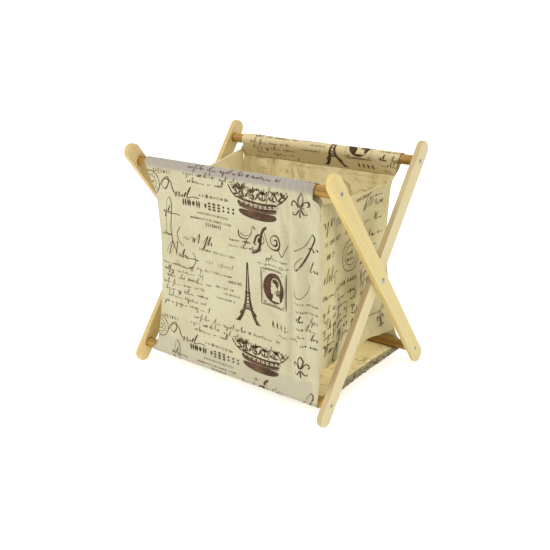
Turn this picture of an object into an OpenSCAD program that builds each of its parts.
// Folding magazine rack: two crossed wooden frames that carry a canvas sling with hung sides.
// The frames are identical and lie one bar thickness apart sideways, so each has one outer
// and one inner bar. X runs along the dowels, Y to the back and Z up, from the floor.

/* [Frames] */
// Lean of each frame from upright when the rack stands open, in degrees
lean = 37.6; // [30:0.1:42]
// Distance from the pivot to the middle of each dowel
arm = 199; // [150:1:260]
// Clear width between the two bars of one frame
inner_w = 362; // [260:1:520]

/* [Bars] */
// Width of a bar
bar_w = 27; // [22:0.5:36]
// Thickness of a bar
bar_t = 9.2; // [8:0.1:14]
// Length of the bar past the middle of its dowel
bar_over = 33.5; // [24:0.5:50]
// Radius on the bar's long edges
edge_r = 1.4; // [0.6:0.1:2]

/* [Dowels] */
// Diameter of a dowel
dowel_d = 16; // [12:0.5:20]
// Depth of the blind socket that takes a dowel's end
socket_depth = 6; // [4:0.5:7]
// Radial room of the dowel in its socket
socket_room = 0.5; // [0.2:0.1:1]

/* [Screws] */
// Shank diameter of the wood screws
screw_d = 3.8; // [3:0.1:4.5]
// Head diameter of the wood screws
screw_head_d = 7.2; // [6:0.1:8.5]
// Height of the raised head above the wood
screw_crown = 0.4; // [0.3:0.05:0.5]
// Length of a screw under its head
screw_l = 26; // [18:1:34]

/* [Pivot] */
// Diameter of the pivot bolts
bolt_d = 5; // [4:0.5:6]
// Head diameter of the pivot bolts
bolt_head_d = 9; // [8:0.5:12]
// Height of the domed bolt head
bolt_head_h = 1.8; // [1:0.1:3]
// Radial play of a bar on its pivot bolt
bolt_play = 0.06; // [0.02:0.01:0.1]
// Thickness of the washer between two crossed bars
spacer_t = 0.7; // [0.5:0.1:1.5]
// Side play between two crossed bars
side_play = 0.1; // [0.05:0.05:0.3]
// Thickness of the washer under a nut
washer_t = 1; // [0.6:0.1:1.6]
// Outside diameter of the washers
washer_d = 12; // [10:0.5:16]
// Width of the nut across its flats
nut_w = 8; // [7:0.5:10]
// Height of the nut
nut_h = 4.6; // [3:0.1:6]

/* [Canvas] */
// Thickness of the canvas
cloth_t = 0.7; // [0.5:0.1:1.2]
// Room between two layers, and between the canvas and a dowel
cloth_room = 0.25; // [0.2:0.05:0.5]
// Distance from the inner left bar to the sling's left edge
sling_gap_left = 3; // [2:0.5:20]
// Distance from the inner right bar to the sling's right edge
sling_gap_right = 8; // [2:0.5:20]
// Bare dowel at the left of each casing
casing_bare_left = 15; // [4:1:30]
// Bare dowel at the right of each casing
casing_bare_right = 29; // [4:1:40]
// Drop of the casing's stitched edge below the middle of the dowel
casing_drop = 25; // [16:1:40]
// How far a sling edge is drawn in where a side panel pulls on it
edge_pull = 34; // [0:1:50]
// Canvas that waits behind the front and back panels, above what a folded rack draws out
reserve_extra = 8; // [4:1:20]

/* [Side panels] */
// Drop of the side panel's top edge below the dowel, at its straight sling edge
side_drop_straight = 18; // [12:1:60]
// Drop of the side panel's top edge below the dowel, at its drawn-in sling edge
side_drop_pulled = 39; // [28:1:70]
// Height of the side panel's lower edge above the dowel, at its straight sling edge
side_rise_straight = 51; // [30:1:80]
// Height of the side panel's lower edge above the dowel, at its drawn-in sling edge
side_rise_pulled = 20; // [14:1:80]
// Width of the turned hem along the bottom panel's two open edges
hem_w = 14; // [8:1:20]

/* [Hidden] */
$fn = 64;
dome_fn = 96;

// How far a cutting shape runs past the face that it cuts.
cut = 1;

// The two frames lie one bar, one washer and the play apart sideways: A to the right, B to the left.
stagger = bar_t + spacer_t + side_play;
a_right = inner_w / 2 + stagger / 2;
a_left = -inner_w / 2 + stagger / 2;
b_right = inner_w / 2 - stagger / 2;
b_left = -inner_w / 2 - stagger / 2;

// Straight half length of a bar, and the heights and depths that follow from the lean.
bar_half = arm + bar_over - bar_w / 2;
pivot_z = bar_half * cos(lean) + bar_w / 2;
dowel_y = arm * sin(lean);
dowel_z = arm * cos(lean);
dowel_r = dowel_d / 2;
socket_wall = bar_t - socket_depth;
bar_outside = 2 * bar_t + spacer_t + side_play;

// Screws: the head keeps a thin wall of wood between it and the dowel's socket.
screw_head_l = 1.8;
head_wall = 0.8;
head_depth = min(screw_head_l, socket_wall - head_wall);
screw_clear = 0.1;
tip_share = 1.2;
tip_d = 0.4;
cross_w = 0.9;
cross_share = 0.6;
cross_depth = 1;
cross_turn = 20;

// The pivot bolt ends a little past its nut. The nut is set with the play under its washer.
bolt_end = 1.2;
bolt_reach = washer_t + nut_h + side_play + bolt_end;

// Distances of the canvas layers from a dowel's middle: one inner layer under one outer layer.
inner_layer = dowel_r + cloth_room;
outer_layer = inner_layer + cloth_t + cloth_room;
sling_left = a_left + sling_gap_left;
sling_right = b_right - sling_gap_right;
reserve_h = 2 * arm * (1 - cos(lean)) + reserve_extra;
sling_middle = (sling_left + sling_right) / 2;
side_front_y = dowel_y + inner_layer - cloth_room;
// The panel hangs just clear of its casing, and the casing's two layers meet this far up.
panel_clear = 0.1;
casing_meet = 4 * cloth_t;
// A drawn-in edge is nearly straight over its middle and bends most near its ends.
pull_shape = 4;
panel_steps = 16;
reserve_steps = 8;

// Colours of the materials.
pine = "#dccf9d";
stained = "#ab8a4c";
canvas = "#d5ccab";
steel = "#c9c8c4";

// ---- Placing ----

// Frame A leans its top to the front, frame B to the back; their own Z runs along the bars.
module in_frame_a() { translate([0, 0, pivot_z]) rotate([lean, 0, 0]) children(); }
module in_frame_b() { translate([0, 0, pivot_z]) rotate([-lean, 0, 0]) children(); }

// Turns a child that is drawn along +Z so that it runs along +X, or along -X with side = -1.
module along_x(side) { rotate([0, side * 90, 0]) children(); }

// ---- Bars ----

// Half of a bar's section: half its width along X, its thickness along Y, with soft corners.
module half_section() {
    square([bar_w / 2 - edge_r, bar_t]);
    translate([0, edge_r]) square([bar_w / 2, bar_t - 2 * edge_r]);
    for (y = [edge_r, bar_t - edge_r]) translate([bar_w / 2 - edge_r, y]) circle(r = edge_r);
}

// A bar with half round ends, its inner face at x = 0 and its thickness along +X.
module bar_blank() {
    rotate([90, 0, 90]) {
        rotate([90, 0, 0]) translate([0, 0, -bar_half]) linear_extrude(2 * bar_half) {
            half_section();
            mirror([1, 0]) half_section();
        }
        translate([0, bar_half, 0]) rotate_extrude(angle = 180) half_section();
        translate([0, -bar_half, 0]) rotate([0, 0, 180]) rotate_extrude(angle = 180) half_section();
    }
}

// One bar with its two dowel sockets, screw holes and pivot hole. side is 1 on the right.
module bar(inner_x, side) {
    color(pine) translate([inner_x, 0, 0]) mirror([side < 0 ? 1 : 0, 0, 0]) difference() {
        bar_blank();
        for (z = [-arm, arm]) translate([0, 0, z]) along_x(1) {
            translate([0, 0, -cut]) cylinder(r = dowel_r + socket_room, h = socket_depth + cut);
            cylinder(d = screw_d + screw_clear, h = bar_t + cut);
            translate([0, 0, bar_t - head_depth])
                cylinder(d1 = screw_d + screw_clear, d2 = screw_head_d + screw_clear, h = head_depth);
            translate([0, 0, bar_t]) cylinder(d = screw_head_d + screw_clear, h = cut);
        }
        along_x(1) translate([0, 0, -cut]) cylinder(d = bolt_d + 2 * bolt_play, h = bar_t + 2 * cut);
    }
}

// ---- Dowels and screws ----

// A round dowel between two inner faces, with a pilot hole for a screw in each end.
module dowel(left_x, right_x, z) {
    length = right_x - left_x + 2 * socket_depth;
    pilot = screw_l - socket_wall + cut;
    color(stained) translate([left_x - socket_depth, 0, z]) along_x(1) difference() {
        cylinder(d = dowel_d, h = length);
        for (z = [-cut, length - pilot]) translate([0, 0, z])
            cylinder(d = screw_d + screw_clear, h = pilot + cut);
    }
}

// A domed cap, of a diameter and a height, that stands on z = 0.
module dome(wide, high) {
    dome_r = (wide * wide / 4 + high * high) / (2 * high);
    intersection() {
        translate([0, 0, high - dome_r]) sphere(r = dome_r, $fn = dome_fn);
        cylinder(d = wide, h = high + cut);
    }
}

// A raised countersunk wood screw with a cross recess, driven in from the bar's outer face.
module screw(inner_x, side, z) {
    tip_h = screw_d * tip_share;
    cross_l = screw_head_d * cross_share;
    color(steel) translate([inner_x + side * bar_t, 0, z]) along_x(side) difference() {
        union() {
            translate([0, 0, -head_depth]) cylinder(d1 = screw_d, d2 = screw_head_d, h = head_depth);
            dome(screw_head_d, screw_crown);
            translate([0, 0, tip_h - screw_l]) cylinder(d = screw_d, h = screw_l - tip_h);
            translate([0, 0, -screw_l]) cylinder(d1 = tip_d, d2 = screw_d, h = tip_h);
        }
        for (turn = [0, 90]) rotate(turn + cross_turn)
            translate([-cross_l / 2, -cross_w / 2, -cross_depth])
                cube([cross_l, cross_w, cross_depth + screw_crown + cut]);
    }
}

// ---- Pivot ----

// The bolt's head bears on the outer bar; the washer and nut close on the inner bar.
// Each is drawn on the right, from the inner bar's inner face, with side = -1 for the left.
module at_pivot(inner_x, side) {
    translate([inner_x, 0, pivot_z]) along_x(side) children();
}

module pivot_bolt(inner_x, side) {
    color(steel) at_pivot(inner_x, side) {
        translate([0, 0, -bolt_reach]) cylinder(d = bolt_d, h = bolt_reach + bar_outside);
        translate([0, 0, bar_outside]) dome(bolt_head_d, bolt_head_h);
    }
}

// The washer between the crossed bars lies against the outer bar.
module pivot_spacer(inner_x, side) {
    color(steel) at_pivot(inner_x, side) translate([0, 0, bar_t + side_play]) difference() {
        cylinder(d = washer_d, h = spacer_t);
        translate([0, 0, -cut]) cylinder(d = bolt_d + 2 * bolt_play, h = spacer_t + 2 * cut);
    }
}

module pivot_washer(inner_x, side) {
    color(steel) at_pivot(inner_x, side) translate([0, 0, -side_play - washer_t]) difference() {
        cylinder(d = washer_d, h = washer_t);
        translate([0, 0, -cut]) cylinder(d = bolt_d + 2 * bolt_play, h = washer_t + 2 * cut);
    }
}

module pivot_nut(inner_x, side) {
    low = -side_play - washer_t - nut_h;
    color(steel) at_pivot(inner_x, side) translate([0, 0, low]) difference() {
        cylinder(d = nut_w / cos(30), h = nut_h, $fn = 6);
        translate([0, 0, -cut]) cylinder(d = bolt_d + 2 * bolt_play, h = nut_h + 2 * cut);
    }
}

// ---- Canvas ----

// Section of a casing round the front top dowel, Y to the right and Z up: a drop shape whose
// tip is the stitched edge on the panel. layer is the distance of its face from the dowel's middle.
module drop_shape(layer, drop) {
    tip = [-layer, -drop];
    reach = norm(tip);
    turn = atan2(tip[1], tip[0]) + acos(layer / reach);
    circle(r = layer);
    polygon([[0, 0], [-layer, 0], tip, layer * [cos(turn), sin(turn)]]);
}

// A casing between two X places, sewn round the front top dowel.
module casing(left_x, right_x) {
    color(canvas) translate([left_x, -dowel_y, pivot_z + dowel_z])
        rotate([90, 0, 90]) linear_extrude(right_x - left_x) difference() {
            drop_shape(outer_layer + cloth_t, casing_drop);
            drop_shape(outer_layer, casing_drop - casing_meet);
        }
}

// How far the panel's edge is drawn in at height z: nothing at its ends, most in the middle.
function drawn_in(z) = edge_pull * (1 - pow(abs(z) / dowel_z, pull_shape));

// The drawn-in left edge from one height to another, in even steps.
function pulled_edge(left_x, top, bottom, steps) = [
    for (i = [0 : steps]) let (z = top + (bottom - top) * i / steps) [left_x + drawn_in(z), z]
];

// A front panel that hangs from its casing to the lower dowel, with its left edge drawn in.
module panel(left_x, right_x) {
    top = dowel_z - casing_drop - panel_clear;
    bottom = -dowel_z + cloth_room;
    left_edge = pulled_edge(left_x, top, bottom, panel_steps);
    color(canvas) translate([0, -dowel_y - outer_layer, pivot_z]) rotate([90, 0, 0])
        linear_extrude(cloth_t) polygon(concat([[right_x, bottom], [right_x, top]], left_edge));
}

// Canvas that comes up from under the front bottom dowel and waits behind the front panel.
module reserve(left_x, right_x) {
    top = reserve_h - dowel_z;
    left_edge = pulled_edge(left_x, top, -dowel_z, reserve_steps);
    color(canvas) {
        translate([0, -dowel_y - inner_layer, pivot_z]) rotate([90, 0, 0])
            linear_extrude(cloth_t) polygon(concat([[right_x, -dowel_z], [right_x, top]], left_edge));
        translate([left_x, -dowel_y, pivot_z - dowel_z]) rotate([90, 0, 90])
            linear_extrude(right_x - left_x) intersection() {
                difference() {
                    circle(r = inner_layer + cloth_t);
                    circle(r = inner_layer);
                }
                translate([-dowel_d, -dowel_d]) square([dowel_d, dowel_d]);
            }
    }
}

module bottom_panel() {
    length = 2 * dowel_y - 2 * cloth_room;
    color(canvas) translate([sling_left, -length / 2, pivot_z - dowel_z - inner_layer - cloth_t])
        cube([sling_right - sling_left, length, cloth_t]);
}

// The bottom panel's open edge, turned over and lying on top of it.
module bottom_hem(left_x) {
    length = 2 * (dowel_y - dowel_r);
    color(canvas) translate([left_x, -length / 2, pivot_z - dowel_z - inner_layer])
        cube([hem_w, length, cloth_t]);
}

// A side panel hangs from the front panel's straight right edge to the back panel's drawn-in one.
module side_panel() {
    start = [sling_right - cloth_t, -side_front_y];
    end = [sling_right - edge_pull, side_front_y];
    run = norm(end - start);
    turn = atan2(end[1] - start[1], end[0] - start[0]);
    color(canvas) translate([start[0], start[1], pivot_z]) rotate([90, 0, turn]) linear_extrude(cloth_t)
        polygon([
            [0, side_rise_straight - dowel_z], [run, side_rise_pulled - dowel_z],
            [run, dowel_z - side_drop_pulled], [0, dowel_z - side_drop_straight]
        ]);
}

// Half a turn about the upright through the sling's middle gives the back and left pieces.
module half_turn(middle_x) {
    translate([middle_x, 0, 0]) rotate([0, 0, 180]) translate([-middle_x, 0, 0]) children();
}

// ---- The pieces ----

in_frame_a() bar(a_right, 1);  // bar_a_right
in_frame_a() bar(a_left, -1);  // bar_a_left
in_frame_b() bar(b_right, 1);  // bar_b_right
in_frame_b() bar(b_left, -1);  // bar_b_left

in_frame_a() dowel(a_left, a_right, arm);  // dowel_front_top
in_frame_a() dowel(a_left, a_right, -arm);  // dowel_back_bottom
in_frame_b() dowel(b_left, b_right, arm);  // dowel_back_top
in_frame_b() dowel(b_left, b_right, -arm);  // dowel_front_bottom

in_frame_a() screw(a_right, 1, arm);  // screw_front_top_right
in_frame_a() screw(a_left, -1, arm);  // screw_front_top_left
in_frame_a() screw(a_right, 1, -arm);  // screw_back_bottom_right
in_frame_a() screw(a_left, -1, -arm);  // screw_back_bottom_left
in_frame_b() screw(b_right, 1, arm);  // screw_back_top_right
in_frame_b() screw(b_left, -1, arm);  // screw_back_top_left
in_frame_b() screw(b_right, 1, -arm);  // screw_front_bottom_right
in_frame_b() screw(b_left, -1, -arm);  // screw_front_bottom_left

pivot_bolt(b_right, 1);  // pivot_bolt_right
pivot_bolt(a_left, -1);  // pivot_bolt_left
pivot_spacer(b_right, 1);  // pivot_spacer_right
pivot_spacer(a_left, -1);  // pivot_spacer_left
pivot_washer(b_right, 1);  // pivot_washer_right
pivot_washer(a_left, -1);  // pivot_washer_left
pivot_nut(b_right, 1);  // pivot_nut_right
pivot_nut(a_left, -1);  // pivot_nut_left

casing(a_left + casing_bare_left, a_right - casing_bare_right);  // front_casing
panel(sling_left, sling_right);  // front_panel
reserve(sling_left, sling_right);  // front_reserve
half_turn(0) casing(casing_bare_right - b_right, -casing_bare_left - b_left);  // back_casing
half_turn(sling_middle) panel(sling_left, sling_right);  // back_panel
half_turn(sling_middle) reserve(sling_left, sling_right);  // back_reserve
bottom_panel();
bottom_hem(sling_right - hem_w);  // bottom_hem_right
bottom_hem(sling_left);  // bottom_hem_left
side_panel();  // side_panel_right
half_turn(sling_middle) side_panel();  // side_panel_left
